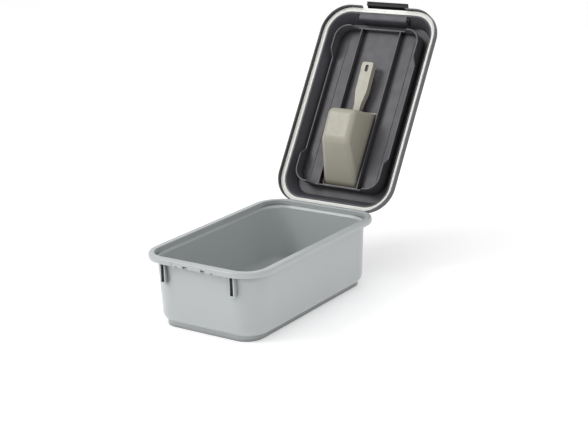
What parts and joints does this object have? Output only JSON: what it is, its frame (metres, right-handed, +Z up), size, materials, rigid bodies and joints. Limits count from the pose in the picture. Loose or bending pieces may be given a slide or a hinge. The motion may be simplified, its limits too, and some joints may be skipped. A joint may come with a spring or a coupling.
{
  "type": "pet food storage bin",
  "caption": "Rectangular food tub with a hinged domed lid, a sealing ring, a front snap latch and a scoop stored under the lid.",
  "frame": {"origin": "centre of the tub's foot ring, on the surface it stands on", "axes": "+X across the bin, -Y towards the latch end, +Y towards the hinge end, +Z up"},
  "size_m": [0.2504, 0.641, 0.4689],
  "materials": {
    "tub_plastic": "smooth satin, light cool grey",
    "lid_plastic": "fine satin texture, dark grey",
    "seal_rubber": "soft off-white elastomer",
    "latch_plastic": "fine satin texture, charcoal",
    "pin_steel": "drawn rod",
    "scoop_plastic": "smooth satin, warm taupe grey"
  },
  "bodies": {
    "tub": {"tub": "tub_plastic", "hinge_pin_left": "pin_steel", "hinge_pin_right": "pin_steel"},
    "lid": {"lid": "lid_plastic", "lid_seal": "seal_rubber", "latch_pin": "pin_steel"},
    "latch": {"latch": "latch_plastic"},
    "scoop": {"scoop": "scoop_plastic"}
  },
  "joints": [
    {"name": "lid_hinge", "type": "hinge", "parent": "tub", "child": "lid", "pos_m": [0, 0.2031, 0.1212], "axis": [1, 0, 0], "range_deg": [0, 122.4]},
    {"name": "latch_pivot", "type": "hinge", "parent": "lid", "child": "latch", "pos_m": [0, 0.42328, 0.44053], "axis": [1, 0, 0], "range_deg": [0, 45.4]},
    {"name": "scoop_removal", "type": "slide", "parent": "lid", "child": "scoop", "axis": [0, -0.8443, 0.5358], "range_m": [0, 0.06]}
  ]
}
